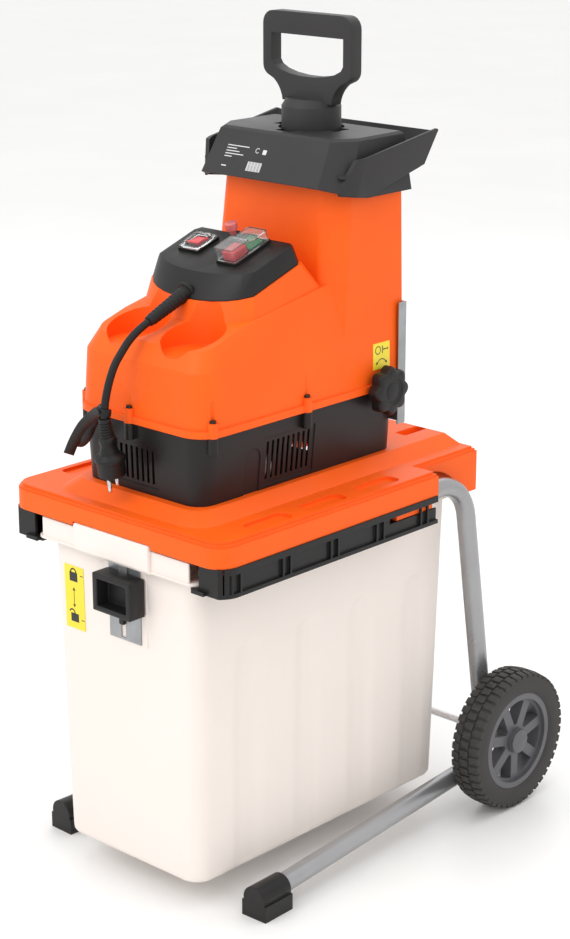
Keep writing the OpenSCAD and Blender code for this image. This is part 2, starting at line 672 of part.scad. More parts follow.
// ---------- controls ----------
module control_box() placed() color(black) panel_frame() difference() {
    hull() {
        slab(panel_plan(80, 73, 2, -20), -1, 1);
        slab(panel_plan(82, 74.5, 0, -24), -5, 1);
        slab(panel_plan(85, 74.5, -14, -45), -box_depth, 1);
    }
    slab(panel_plan(77, 70, 2, -17), -box_depth - 1, box_depth - 2);
    slab(rrect(-59, 20, -31, 52, 2), -10, 20);
    slab(rrect(16, 8, 44, 66, 2), -10, 20);
    translate([reset_at[0], reset_at[1], -10]) cylinder(h = 20, r = 6.1);
}
module switch_frame(x, y, w, l) placed() color("#1c1c1c") panel_frame() difference() {
    union() {
        slab(rrect(x - w / 2, y - l / 2, x + w / 2, y + l / 2, 3), 0, 3);
        slab(rrect(x - w / 2 + 4.2, y - l / 2 + 4.2, x + w / 2 - 4.2, y + l / 2 - 4.2, 1.5), -16, 17);
    }
    slab(rrect(x - w / 2 + 6.5, y - l / 2 + 6, x + w / 2 - 6.5, y + l / 2 - 6, 1), -12, 30);
}
module start_stop_frame() switch_frame(30, 37, 34, 66);
module changeover_frame() switch_frame(-45, 36, 36, 40);
module start_button() placed() color("#3c8c50") panel_frame()
    slab(rrect(20.5, 38.5, 39.5, 62.5, 1.5), -8, 13);
module stop_button() placed() color("#dc3038") panel_frame()
    slab(rrect(20.5, 11.5, 39.5, 35.5, 1.5), -8, 20);
module switch_cover() placed() color("#dfe7e6", 0.4) panel_frame() difference() {
    union() {
        slab(rrect(14.5, 5.5, 45.5, 68.5, 3), 3.3, 13);
        slab(rrect(14.5, 5.5, 45.5, 37, 3), 3.3, 17);
        along_x(18, 42, 68.5, 4.8, 1.5);
    }
    slab(rrect(16, 7, 44, 67, 2), 3, 11.8);
    slab(rrect(16, 7, 44, 36, 2), 3, 15.8);
}
module changeover_rocker() placed() color("#dc3038") panel_frame() translate(rocker_at) difference() {
    side_profile([[-8, -2], [8, -2], [10.5, 6.1], [0, 7.4], [-10.5, 10]], -10, 10);
    along_x(-12, 12, 0, 0, 1.2);
}
module reset_collar() placed() color("#1c1c1c") panel_frame() translate([reset_at[0], reset_at[1], -8])
    difference() {
    union() {
        cylinder(h = 8, r = 6);
        translate([0, 0, 8]) cylinder(h = 6, r = 9);
    }
    translate([0, 0, -1]) cylinder(h = 20, r = 4.3);
}
module reset_button() placed() color("#e05060") panel_frame() translate([reset_at[0], reset_at[1], -4]) {
    cylinder(h = 17, r = 4.2);
    translate([0, 0, 16.9]) cylinder(h = 8, r = 7.5);
}

// ---------- drive ----------
function involute(a) = tan(a) * 180 / PI - a;
function flank(n, m, rho) = let (r = n * m / 2, rb = r * cos(pressure_angle))
    90 / n - backlash / 4 / r * 180 / PI + involute(pressure_angle) - involute(acos(min(1, rb / max(rho,
        rb))));
function gear_points(n, m) = let (r = n * m / 2, rb = r * cos(pressure_angle), root = r - 1.25 * m,
    low = max(rb, root), step = (r + m - low) / 4)
    [for (i = [0:n - 1]) let (t = 360 * i / n) each concat(
        [root * [cos(t - flank(n, m, low)), sin(t - flank(n, m, low))]],
        [for (k = [0:4]) let (q = low + step * k, a = t - flank(n, m, q)) q * [cos(a), sin(a)]],
        [for (k = [4:-1:0]) let (q = low + step * k, a = t + flank(n, m, q)) q * [cos(a), sin(a)]],
        [root * [cos(t + flank(n, m, low)), sin(t + flank(n, m, low))]])];
// turn of a gear with nb teeth that meshes with one of na teeth, turned by pa, in direction theta from it
function mesh_phase(theta, pa, na, nb) = theta + 180 - 360 / nb * (0.5 - (theta - pa) * na / 360);
module gear(c, n, m, phase, y0, y1) translate([c[0], y1, c[1]]) rotate([90, 0, 0])
    linear_extrude(y1 - y0) rotate(phase) polygon(gear_points(n, m));

module motor_can() placed() color("#8d8f92") difference() {
    union() {
        along_y(motor_y[0], motor_y[1], shaft_0[0], shaft_0[1], motor_r);
        block([shaft_0[0] - 34, motor_y[0] + 12, plateau_z + shell], [shaft_0[0] + 34, motor_y[0] + 22,
            shaft_0[1] - 40]);
        block([shaft_0[0] - 34, motor_y[1] - 22, plateau_z + shell], [shaft_0[0] + 34, motor_y[1] - 12,
            shaft_0[1] - 40]);
    }
    along_y(motor_y[0] + 5, motor_y[1] - 5, shaft_0[0], shaft_0[1], motor_r - 4);
    along_y(motor_y[0] - 1, motor_y[1] + 1, shaft_0[0], shaft_0[1], 12);
}
module motor_stator() placed() color("#b87333") difference() {
    along_y(motor_y[0] + 16, motor_y[1] - 16, shaft_0[0], shaft_0[1], motor_r - 4);
    along_y(motor_y[0] + 10, motor_y[1] - 10, shaft_0[0], shaft_0[1], 31);
}
module motor_rotor() placed() color("#a6a8aa") {
    along_y(motor_y[0] + 20, motor_y[1] - 20, shaft_0[0], shaft_0[1], 30);
    along_y(-257, -95, shaft_0[0], shaft_0[1], shaft_r);
    gear(shaft_0, pinion_teeth, module_1, mesh_phase(dir_10, 0, wheel_teeth, pinion_teeth), -96, -83);
}
module cooling_fan() placed() color(black) difference() {
    union() {
        along_y(-255, -245, shaft_0[0], shaft_0[1], 12);
        along_y(-247, -244, shaft_0[0], shaft_0[1], 44);
        for (k = [0:7]) translate([shaft_0[0], -255, shaft_0[1]]) rotate([0, 45 * k, 0])
            block([10, 0, -1.2], [43, 9, 1.2]);
    }
    along_y(-260, -240, shaft_0[0], shaft_0[1], shaft_r);
}
module capacitor() placed() color("#c9c9c6") along_y(-215, -130, 76, plateau_z + shell + 18, 18);

module gearbox_case() placed() color("#a3a6a9") difference() {
    union() {
        translate([0, case_y[1], 0]) rotate([90, 0, 0])
            linear_extrude(case_y[1] - case_y[0] - case_wall) polygon(rrect(case_box[0], case_box[1],
                case_box[2],
                case_box[3], 18));
        for (x = [-64, 20]) block([x, case_y[0] + 12, plateau_z + shell], [x + 12, case_y[1] - 4,
            case_box[1] + 2]);
    }
    translate([0, case_y[1] - case_wall, 0]) rotate([90, 0, 0])
        linear_extrude(100) polygon(rrect(case_box[0] + 4, case_box[1] + 4, case_box[2] - 4,
            case_box[3] - 4, 14));
    for (c = [shaft_1, shaft_2]) along_y(case_y[1] - case_wall - 1, case_y[1] + 1, c[0], c[1], bearing_r);
    along_y(case_y[1] - case_wall - 1, case_y[1] + 1, shaft_3[0], shaft_3[1], 16);
}
module gearbox_cover() placed() color("#a3a6a9") difference() {
    translate([0, case_y[0] + case_wall, 0]) rotate([90, 0, 0])
        linear_extrude(case_wall) polygon(rrect(case_box[0], case_box[1], case_box[2], case_box[3], 18));
    for (c = [shaft_0, shaft_1, shaft_2])
        along_y(case_y[0] - 1, case_y[0] + case_wall + 1, c[0], c[1], bearing_r);
}
module first_gear() placed() color("#b5b6b8") {
    along_y(case_y[0] + 1, case_y[1] - 1, shaft_1[0], shaft_1[1], shaft_r);
    gear(shaft_1, wheel_teeth, module_1, 0, -95, -84);
    gear(shaft_1, pinion_teeth, module_2, mesh_phase(dir_21, 0, wheel_teeth, pinion_teeth), -80, -64);
}
module second_gear() placed() color("#b5b6b8") {
    along_y(case_y[0] + 1, case_y[1] - 1, shaft_2[0], shaft_2[1], shaft_r);
    gear(shaft_2, wheel_teeth, module_2, 0, -79, -65);
    gear(shaft_2, pinion_teeth, module_3, mesh_phase(dir_32, 0, wheel_teeth, pinion_teeth), -61, -39);
}
module roller_gear() placed() color("#b5b6b8") difference() {
    gear(shaft_3, wheel_teeth, module_3, 0, -60, -40);
    along_y(-70, -30, shaft_3[0], shaft_3[1], roller_shaft_r);
}
module bearing(c, y0, inner, outer) difference() {
    along_y(y0, y0 + bearing_w, c[0], c[1], outer);
    along_y(y0 - 1, y0 + bearing_w + 1, c[0], c[1], inner);
}
module ball_bearings() placed() color("silver") {
    for (c = [shaft_0, shaft_1, shaft_2]) bearing(c, case_y[0] + 0.5, shaft_r + 0.06, bearing_r);
    for (c = [shaft_1, shaft_2]) bearing(c, case_y[1] - case_wall + 0.5, shaft_r + 0.06, bearing_r);
    bearing(shaft_3, case_y[1] - case_wall + 0.5, roller_shaft_r + 0.06, 16);
    bearing(shaft_3, 77, roller_shaft_r + 0.06, 16);
    bearing(shaft_0, motor_y[0] - 2, shaft_r + 0.06, 12);
}

// ---------- cutter ----------
module cutter_frame() placed() color("#86888b") difference() {
    union() {
        block([frame_x[0], -16, 536], [frame_x[1], -8, 650]);
        block([frame_x[0], 76.5, 536], [frame_x[1], 84.5, 650]);
        block([frame_x[0], -10, 536], [frame_x[0] + 5, 80, 650]);
        block([frame_x[1] - 6, -10, 570], [frame_x[1], 80, 626]);
        for (y = [-16, 76.5]) block([frame_x[0], y, plateau_z + shell], [frame_x[0] + 8, y + 8, 540]);
        for (y = [-16, 76.5]) block([frame_x[1] - 8, y, plateau_z + shell], [frame_x[1], y + 8, 540]);
    }
    along_y(-20, 0, shaft_3[0], shaft_3[1], roller_shaft_r + 2);
    along_y(70, 90, shaft_3[0], shaft_3[1], 16);
    along_x(frame_x[1] - 10, frame_x[1] + 5, screw_y, screw_z, screw_r + 0.08);
}
function blade_points() = [for (i = [0:roller_blades - 1]) let (a = 360 / roller_blades * i) each [
    (roller_r - 9) * [cos(a), sin(a)], roller_r * [cos(a + 12), sin(a + 12)],
    roller_r * [cos(a + 20), sin(a + 20)], (roller_r - 9) * [cos(a + 24), sin(a + 24)]]];
module cutting_roller() placed() color("#77797c") {
    translate([shaft_3[0], roller_y[1], shaft_3[1]]) rotate([90, 0, 0])
        linear_extrude(roller_y[1] - roller_y[0]) polygon(blade_points());
    along_y(-62, 84, shaft_3[0], shaft_3[1], roller_shaft_r);
}
module counter_plate() placed() color("#c3c5c7") difference() {
    block([plate_x[0], -7, 566], [plate_x[1], 75.5, 640]);
    along_x(plate_x[0] + 4, plate_x[1] + 1, screw_y, screw_z, screw_r + 0.08);
}
module adjusting_screw() placed() color("silver") {
    along_x(plate_x[0] + 8, knob_x[0] + 8, screw_y, screw_z, screw_r);
    along_x(frame_x[1] + 1, frame_x[1] + 5, screw_y, screw_z, 9);
}
module adjustment_knob() placed() color(black) difference() {
    translate([knob_x[0], screw_y, screw_z]) rotate([90, 0, 90])
        linear_extrude(knob_x[1] - knob_x[0]) polygon([for (a = [0:5:355]) (knob_r - 2 + 2 * cos(8 * a))
            * [cos(a), sin(a)]]);
    along_x(knob_x[0] - 1, knob_x[0] + 8, screw_y, screw_z, screw_r);
}
module side_label() placed() color("#f0dc32") translate([seam_w, 0, seam_z]) rotate([0, -atan(side_lean), 0])
    block([0.02, 36, 27], [0.8, 67, 60]);

// ---------- bin switch ----------
module safety_switch() placed() color("#202225") difference() {
    block([latch_x - 12, deck_y + wall, 474], [latch_x + 12, deck_y + wall + 17, deck_under]);
    translate([latch_x, plunger_y, 473]) cylinder(h = 10, r = 3.1);
}
module switch_plunger() placed() color("#d0d0d0") translate([latch_x, plunger_y, tongue_top + 0.3])
    cylinder(h = 12, r = 3);
plunger_y = bin_y[0] - 3.3;

// ---------- cord ----------
function unit(v) = v / norm(v);
function tangent(i) = unit(cord_route[min(i + 1, len(cord_route) - 1)] - cord_route[max(i - 1, 0)]);
cord_sides = 10;
function ring(i) = let (t = tangent(i), u = unit(cross(t, [1, 0, 0])), v = cross(t, u))
    [for (k = [0:cord_sides - 1]) cord_route[i]
        + cord_d / 2 * (cos(360 * k / cord_sides) * u + sin(360 * k / cord_sides) * v)];
module power_cord() placed() color("#1b1b1b") polyhedron(
    points = [for (i = [0:len(cord_route) - 1]) each ring(i)],
    faces = concat([[for (k = [0:cord_sides - 1]) k]],
        [for (i = [0:len(cord_route) - 2], k = [0:cord_sides - 1]) let (n = (k + 1) % cord_sides,
            a = i * cord_sides)
            [a + k, a + cord_sides + k, a + cord_sides + n, a + n]],
        [[for (k = [cord_sides - 1:-1:0]) (len(cord_route) - 1) * cord_sides + k]]));
boot_vec = cord_route[0] - boot_at;
module on_boot() translate(boot_at)
    rotate([0, acos(boot_vec[2] / norm(boot_vec)), atan2(boot_vec[1], boot_vec[0])]) children();
module cord_boot() placed() color(black) on_boot() {
    cylinder(h = norm(boot_vec), r1 = 9, r2 = 6.6);
    translate([0, 0, 3]) cylinder(h = 4, r = 13);
}
module plug_body() placed() color("#1b1b1b") translate(plug_at) rotate([180 + plug_tilt, 0, 0]) {
    rotate_extrude() polygon([[0, 0], [7.5, 0], [9.5, 22], [12, 24], [10.5, 34], [13, 44], [18.5, 49],
        [18.5, 53],
        [17, 55], [17, 72], [0, 72]]);
    for (s = [-1, 1]) rotate([0, 0, -pin_turn]) translate([9.5 * s, 0, 71.9]) cylinder(h = 19, r = 2.4);
}
module strap_piece(a, b) hull() for (p = [a, b]) translate(p) rotate([0, 0, 10]) cube([4, 3, 15],
    center = true);
module cord_strap() placed() color("#1b1b1b") {
    difference() {
        translate([-15, -300.4, 609]) cylinder(h = 8, r = 7.5);
        translate([-15, -300.4, 608]) cylinder(h = 10, r = 5.2);
    }
    strap_piece([-23, -299, 613], [-62, -293, 584]);
    strap_piece([-62, -293, 584], [-97, -285, 543]);
}

deck();
rail_left();
rail_right();
frame_tube_left();
frame_tube_right();
axle();
foot_cap_left();
foot_cap_right();
tyre_left();
tyre_right();
wheel_rim_left();
wheel_rim_right();
hub_cap_left();
hub_cap_right();
collection_bin();
latch_plate();
latch_grip();
latch_tongue();
bin_label();
lower_housing();
upper_housing();
rear_steel_plate();
hopper_cap();
feed_chute();
pusher();
control_box();
start_stop_frame();
start_button();
stop_button();
switch_cover();
changeover_frame();
changeover_rocker();
reset_collar();
reset_button();
motor_can();
motor_stator();
motor_rotor();
cooling_fan();
capacitor();
gearbox_case();
gearbox_cover();
first_gear();
second_gear();
roller_gear();
ball_bearings();
cutter_frame();
cutting_roller();
counter_plate();
adjusting_screw();
adjustment_knob();
side_label();
safety_switch();
switch_plunger();
housing_screws();
rail_screws();
frame_bolts();
cord_boot();
power_cord();
plug_body();
cord_strap();
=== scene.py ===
import bpy
import bmesh
import math
from mathutils import Matrix, Vector


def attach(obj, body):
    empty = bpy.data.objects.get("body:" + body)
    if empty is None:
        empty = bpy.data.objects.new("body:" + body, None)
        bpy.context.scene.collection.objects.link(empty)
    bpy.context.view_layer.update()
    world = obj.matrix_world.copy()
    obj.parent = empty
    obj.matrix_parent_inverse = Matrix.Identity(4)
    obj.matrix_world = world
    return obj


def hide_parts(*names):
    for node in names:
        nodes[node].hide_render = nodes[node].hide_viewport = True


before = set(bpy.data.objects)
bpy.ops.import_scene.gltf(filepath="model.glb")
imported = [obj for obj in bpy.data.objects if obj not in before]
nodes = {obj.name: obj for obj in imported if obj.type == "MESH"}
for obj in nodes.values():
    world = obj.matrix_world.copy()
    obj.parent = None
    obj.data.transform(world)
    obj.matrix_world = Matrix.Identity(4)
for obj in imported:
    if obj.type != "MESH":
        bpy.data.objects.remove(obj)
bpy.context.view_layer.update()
MM = 0.001
ORIGIN = Vector((0, 0.007, 0))  # the pieces are drawn round this point, which is behind the frame's origin
MERGE = 0.00002  # metres within which a node's split corners are joined
SMOOTH_TO = 28  # degrees between two faces, up to which their edge is shaded smooth

# ------------------------------------------------------------------ camera
CAMERA_AT, CAMERA_TO = Vector((1.8428, -1.9910, 1.3250)), Vector((0.0669, -0.0700, 0.5002))
LENS, SHIFT_X, SHIFT_Y = 85.1, -0.0049, 0.0061
cam = bpy.data.objects.new("Camera", bpy.data.cameras.new("Camera"))
bpy.context.scene.collection.objects.link(cam)
cam.location = CAMERA_AT + ORIGIN
aim = CAMERA_TO + ORIGIN - cam.location
cam.rotation_mode = "QUATERNION"
cam.rotation_quaternion = aim.to_track_quat("-Z", "Y")
cam.data.lens = LENS
cam.data.shift_x = SHIFT_X
cam.data.shift_y = SHIFT_Y
bpy.context.scene.camera = cam

# ------------------------------------------------------------------ materials
DRIFT_LOW, DRIFT_HIGH = 0.3, 0.7  # the part of the noise's range that colour and roughness drift over
GRAIN_DEPTH = 0.0002


def material(name, low, high, rough, grain, grain_scale=700.0, metallic=0.0, scale=9.0, stretch=(1, 1, 1),
             edge=0.0, **extra):
    """A principled surface whose colour drifts between low and high, and its roughness with it, with a fine grain
    in its normals. edge is the radius, in metres, that its edges are shaded round by."""
    m = bpy.data.materials.new(name)
    m.use_nodes = True
    nt = m.node_tree
    nt.nodes.clear()
    add, link = nt.nodes.new, nt.links.new
    out = add("ShaderNodeOutputMaterial")
    bsdf = add("ShaderNodeBsdfPrincipled")
    link(bsdf.outputs[0], out.inputs[0])
    where = add("ShaderNodeTexCoord")
    place = add("ShaderNodeMapping")
    place.inputs["Scale"].default_value = stretch
    link(where.outputs["Object"], place.inputs["Vector"])
    drift = add("ShaderNodeTexNoise")
    drift.inputs["Scale"].default_value = scale
    drift.inputs["Detail"].default_value = 5.0
    drift.inputs["Roughness"].default_value = 0.6
    link(place.outputs[0], drift.inputs["Vector"])
    ramp = add("ShaderNodeValToRGB")
    ramp.color_ramp.elements[0].position = DRIFT_LOW
    ramp.color_ramp.elements[1].position = DRIFT_HIGH
    ramp.color_ramp.elements[0].color = (*low, 1)
    ramp.color_ramp.elements[1].color = (*high, 1)
    link(drift.outputs["Fac"], ramp.inputs[0])
    link(ramp.outputs[0], bsdf.inputs["Base Color"])
    span = add("ShaderNodeMapRange")
    span.inputs["From Min"].default_value = DRIFT_LOW
    span.inputs["From Max"].default_value = DRIFT_HIGH
    span.inputs["To Min"].default_value = rough[0]
    span.inputs["To Max"].default_value = rough[1]
    link(drift.outputs["Fac"], span.inputs[0])
    link(span.outputs[0], bsdf.inputs["Roughness"])
    fine = add("ShaderNodeTexNoise")
    fine.inputs["Scale"].default_value = grain_scale
    fine.inputs["Detail"].default_value = 3.0
    link(place.outputs[0], fine.inputs["Vector"])
    bump = add("ShaderNodeBump")
    bump.inputs["Strength"].default_value = grain
    bump.inputs["Distance"].default_value = GRAIN_DEPTH
    link(fine.outputs["Fac"], bump.inputs["Height"])
    if edge:
        round_off = add("ShaderNodeBevel")
        round_off.inputs["Radius"].default_value = edge
        round_off.samples = 4
        link(round_off.outputs[0], bump.inputs["Normal"])
    link(bump.outputs[0], bsdf.inputs["Normal"])
    bsdf.inputs["Metallic"].default_value = metallic
    for key, value in extra.items():
        bsdf.inputs[key.replace("_", " ")].default_value = value
    return m


ORANGE = material("moulded_orange", (0.94, 0.112, 0.006), (1.0, 0.130, 0.008), rough=(0.40, 0.48), grain=0.10,
                  grain_scale=900, edge=0.0016, Specular_IOR_Level=0.22)
BLACK = material("moulded_black", (0.009, 0.008, 0.008), (0.014, 0.013, 0.013), rough=(0.34, 0.44), grain=0.14,
                 grain_scale=1000, edge=0.0012, Specular_IOR_Level=0.3)
DARK = material("moulded_dark_grey", (0.023, 0.022, 0.023), (0.032, 0.030, 0.032), rough=(0.42, 0.54), grain=0.3,
                grain_scale=1300, edge=0.0016, Specular_IOR_Level=0.35)
GREY = material("moulded_grey", (0.085, 0.085, 0.095), (0.115, 0.115, 0.125), rough=(0.4, 0.5), grain=0.12,
                grain_scale=900, edge=0.0012)
MILKY = material("milky_bin", (0.93, 0.845, 0.79), (0.955, 0.875, 0.82), rough=(0.36, 0.48), grain=0.12,
                 grain_scale=500, scale=4.0, Transmission_Weight=0.10, IOR=1.3, Specular_IOR_Level=0.3)
CLEAR = material("clear_cover", (0.93, 0.97, 0.97), (0.97, 1.0, 1.0), rough=(0.03, 0.07), grain=0.05,
                 grain_scale=300, Transmission_Weight=0.95, IOR=1.3)
RED = material("red_button", (0.66, 0.02, 0.03), (0.76, 0.035, 0.05), rough=(0.25, 0.33), grain=0.06, edge=0.0007)
GREEN = material("green_button", (0.03, 0.20, 0.075), (0.045, 0.25, 0.10), rough=(0.28, 0.36), grain=0.06,
                 edge=0.0007)
YELLOW = material("label_film", (0.88, 0.70, 0.03), (0.93, 0.76, 0.05), rough=(0.3, 0.38), grain=0.04)
INK = material("label_ink", (0.012, 0.012, 0.012), (0.02, 0.02, 0.02), rough=(0.4, 0.5), grain=0.04)
WHITE_INK = material("white_ink", (0.6, 0.6, 0.6), (0.7, 0.7, 0.7), rough=(0.4, 0.5), grain=0.04)
TYRE = material("tyre_rubber", (0.028, 0.026, 0.025), (0.045, 0.042, 0.040), rough=(0.62, 0.8), grain=0.5,
                grain_scale=1400, scale=30, edge=0.0006)
RUBBER = material("cord_rubber", (0.007, 0.007, 0.007), (0.011, 0.011, 0.011), rough=(0.42, 0.55), grain=0.15,
                  grain_scale=1200, edge=0.0005, Specular_IOR_Level=0.3)
TUBE = material("grey_powder_coat", (0.33, 0.33, 0.34), (0.40, 0.40, 0.41), rough=(0.26, 0.36), grain=0.25,
                grain_scale=1500, metallic=0.75, edge=0.0006)
ZINC = material("bright_zinc", (0.56, 0.56, 0.58), (0.70, 0.70, 0.71), rough=(0.2, 0.34), grain=0.12,
                grain_scale=500, metallic=1.0, scale=40, stretch=(1, 1, 12), edge=0.0004)
STEEL = material("machined_steel", (0.34, 0.34, 0.35), (0.48, 0.48, 0.49), rough=(0.28, 0.42), grain=0.2,
                 grain_scale=600, metallic=1.0, scale=60, stretch=(1, 14, 1), edge=0.0006)
CAST = material("cast_aluminium", (0.42, 0.42, 0.43), (0.55, 0.55, 0.56), rough=(0.42, 0.6), grain=0.7,
                grain_scale=350, metallic=1.0, scale=20, edge=0.0012)
GALVANISED = material("galvanised_sheet", (0.30, 0.31, 0.32), (0.42, 0.43, 0.44), rough=(0.36, 0.5), grain=0.1,
                      grain_scale=500, metallic=0.9, scale=30, edge=0.0004)
DARK_STEEL = material("blackened_screws", (0.03, 0.03, 0.03), (0.05, 0.05, 0.05), rough=(0.4, 0.5), grain=0.1,
                      metallic=0.8, edge=0.0003)
PINK = material("clear_red_cap", (0.85, 0.22, 0.22), (0.92, 0.30, 0.30), rough=(0.12, 0.2), grain=0.05,
                edge=0.0006, Transmission_Weight=0.45, IOR=1.4)
LAMINATE = material("laminated_steel", (0.22, 0.21, 0.20), (0.36, 0.35, 0.33), rough=(0.4, 0.5), grain=0.6,
                    grain_scale=300, metallic=1.0, scale=30, stretch=(1, 8, 1))
FLOOR = material("pale_floor", (0.90, 0.895, 0.885), (0.94, 0.935, 0.925), rough=(0.35, 0.5), grain=0.02, scale=2.0)

LOOKS = {
    "deck": ORANGE, "rail_left": BLACK, "rail_right": BLACK, "frame_tube_left": TUBE, "frame_tube_right": TUBE,
    "axle": ZINC, "foot_cap_left": BLACK, "foot_cap_right": BLACK, "hub_cap_left": GREY, "hub_cap_right": GREY,
    "wheel_rim_left": GREY, "wheel_rim_right": GREY, "tyre_left": TYRE, "tyre_right": TYRE,
    "collection_bin": MILKY, "bin_label": YELLOW, "latch_plate": GALVANISED, "latch_grip": BLACK,
    "latch_tongue": ZINC, "lower_housing": BLACK, "upper_housing": ORANGE, "rear_steel_plate": GALVANISED,
    "hopper_cap": DARK, "feed_chute": ZINC, "pusher": DARK, "control_box": BLACK, "start_stop_frame": BLACK,
    "start_button": GREEN, "stop_button": RED, "switch_cover": CLEAR, "changeover_frame": BLACK,
    "changeover_rocker": RED, "reset_collar": BLACK, "reset_button": PINK, "motor_can": DARK_STEEL,
    "motor_stator": LAMINATE, "motor_rotor": STEEL, "cooling_fan": BLACK, "capacitor": CAST,
    "gearbox_case": LAMINATE, "gearbox_cover": LAMINATE, "first_gear": STEEL, "second_gear": STEEL,
    "roller_gear": STEEL, "ball_bearings": STEEL, "cutter_frame": STEEL, "cutting_roller": STEEL,
    "counter_plate": STEEL, "adjusting_screw": ZINC, "adjustment_knob": BLACK, "side_label": YELLOW,
    "safety_switch": BLACK, "switch_plunger": GREY, "housing_screws": DARK_STEEL, "rail_screws": ZINC,
    "frame_bolts": ZINC, "cord_boot": RUBBER, "power_cord": RUBBER, "plug_body": RUBBER, "cord_strap": RUBBER,
}


# ------------------------------------------------------------------ finish of the CAD shells
def smooth_group():
    """Joins a mesh's split corners, and shades it smooth except over its sharper edges."""
    g = bpy.data.node_groups.new("smooth_by_angle", "GeometryNodeTree")
    g.interface.new_socket("Geometry", in_out="INPUT", socket_type="NodeSocketGeometry")
    g.interface.new_socket("Geometry", in_out="OUTPUT", socket_type="NodeSocketGeometry")
    start = g.nodes.new("NodeGroupInput")
    weld = g.nodes.new("GeometryNodeMergeByDistance")
    weld.inputs["Distance"].default_value = MERGE
    faces = g.nodes.new("GeometryNodeSetShadeSmooth")
    faces.domain = "FACE"
    angle = g.nodes.new("GeometryNodeInputMeshEdgeAngle")
    sharp = g.nodes.new("FunctionNodeCompare")
    sharp.operation = "GREATER_THAN"
    sharp.inputs[1].default_value = math.radians(SMOOTH_TO)
    edges = g.nodes.new("GeometryNodeSetShadeSmooth")
    edges.domain = "EDGE"
    edges.inputs["Shade Smooth"].default_value = False
    end = g.nodes.new("NodeGroupOutput")
    g.links.new(start.outputs[0], weld.inputs["Geometry"])
    g.links.new(weld.outputs[0], faces.inputs["Geometry"])
    g.links.new(faces.outputs[0], edges.inputs["Geometry"])
    g.links.new(angle.outputs["Unsigned Angle"], sharp.inputs[0])
    g.links.new(sharp.outputs[0], edges.inputs["Selection"])
    g.links.new(edges.outputs[0], end.inputs[0])
    return g


SMOOTH = smooth_group()


def shade(o):
    o.modifiers.new("Smooth", "NODES").node_group = SMOOTH


def soften(o, width, segments, angle=32):
    """Rounds the edges sharper than angle degrees over width millimetres, and shades the piece."""
    b = o.modifiers.new("Bevel", "BEVEL")
    b.width = width * MM
    b.segments = segments
    b.limit_method = "ANGLE"
    b.angle_limit = math.radians(angle)
    shade(o)


# the nodes whose edges are rounded in their mesh: the width in millimetres, and the segments
BEVELS = {"pusher": (3.0, 4), "latch_grip": (2.2, 3), "start_button": (1.0, 3), "stop_button": (1.2, 3),
          "changeover_rocker": (0.8, 3), "switch_cover": (0.8, 3), "start_stop_frame": (0.6, 2),
          "changeover_frame": (0.6, 2), "reset_button": (1.2, 3), "foot_cap_left": (1.5, 3),
          "foot_cap_right": (1.5, 3), "control_box": (1.0, 3), "hub_cap_left": (1.0, 3), "hub_cap_right": (1.0, 3)}
for name, o in nodes.items():
    o.data.materials.clear()
    o.data.materials.append(LOOKS[name])
    if "custom_normal" in o.data.attributes:
        o.data.attributes.remove(o.data.attributes["custom_normal"])
    o.modifiers.new("Weld", "WELD").merge_threshold = MERGE
    if name in BEVELS:
        soften(o, *BEVELS[name])
    else:
        shade(o)


# ------------------------------------------------------------------ mesh helpers (millimetres in, metres out)
def piece(name, verts, faces, look, body, smooth=True):
    me = bpy.data.meshes.new(name)
    me.from_pydata([Vector(v) * MM + ORIGIN for v in verts], [], faces)
    bm = bmesh.new()
    bm.from_mesh(me)
    bmesh.ops.remove_doubles(bm, verts=bm.verts, dist=1e-6)
    bmesh.ops.recalc_face_normals(bm, faces=bm.faces)
    bm.to_mesh(me)
    bm.free()
    if smooth:
        me.polygons.foreach_set("use_smooth", [True] * len(me.polygons))
    o = bpy.data.objects.new(name, me)
    bpy.context.scene.collection.objects.link(o)
    me.materials.append(look)
    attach(o, body)
    return o


def loft(rings, wrap=False):
    """Vertices and faces of a skin over closed rings that all have the same number of points. It is capped at both
    ends, or with wrap it goes on from the last ring to the first."""
    n = len(rings[0])
    verts = [p for r in rings for p in r]
    faces = []
    for i in range(len(rings) if wrap else len(rings) - 1):
        a, b = i * n, (i + 1) % len(rings) * n
        faces += [(a + k, a + (k + 1) % n, b + (k + 1) % n, b + k) for k in range(n)]
    if not wrap:
        faces.append(tuple(range(n)))
        faces.append(tuple(range(len(verts) - n, len(verts))))
    return verts, faces


def lathe(profile, steps, place, wrap=False):
    """profile is (along, radius) pairs; place turns (along, u, v) into a point."""
    turns = [2 * math.pi * k / steps for k in range(steps)]
    return loft([[place(along, r * math.cos(t), r * math.sin(t)) for t in turns] for along, r in profile], wrap)


def box_mesh(lo, hi):
    x0, y0, z0 = lo
    x1, y1, z1 = hi
    v = [(x, y, z) for z in (z0, z1) for x, y in ((x0, y0), (x1, y0), (x1, y1), (x0, y1))]
    f = [(0, 3, 2, 1), (4, 5, 6, 7), (0, 1, 5, 4), (1, 2, 6, 5), (2, 3, 7, 6), (3, 0, 4, 7)]
    return v, f


def joined(parts):
    """Several meshes as one."""
    verts, faces = [], []
    for v, f in parts:
        k = len(verts)
        verts += list(v)
        faces += [tuple(i + k for i in q) for q in f]
    return verts, faces


def catmull(points, per):
    """A smooth line through the points, with per steps between each two."""
    pts = [Vector(p) for p in points]
    out = []
    for i in range(len(pts) - 1):
        p0, p1, p2 = pts[max(i - 1, 0)], pts[i], pts[i + 1]
        p3 = pts[min(i + 2, len(pts) - 1)]
        for k in range(per):
            t = k / per
            out.append(0.5 * ((2 * p1) + (p2 - p0) * t + (2 * p0 - 5 * p1 + 4 * p2 - p3) * t * t
                              + (3 * p1 - p0 - 3 * p2 + p3) * t ** 3))
    out.append(pts[-1])
    return out


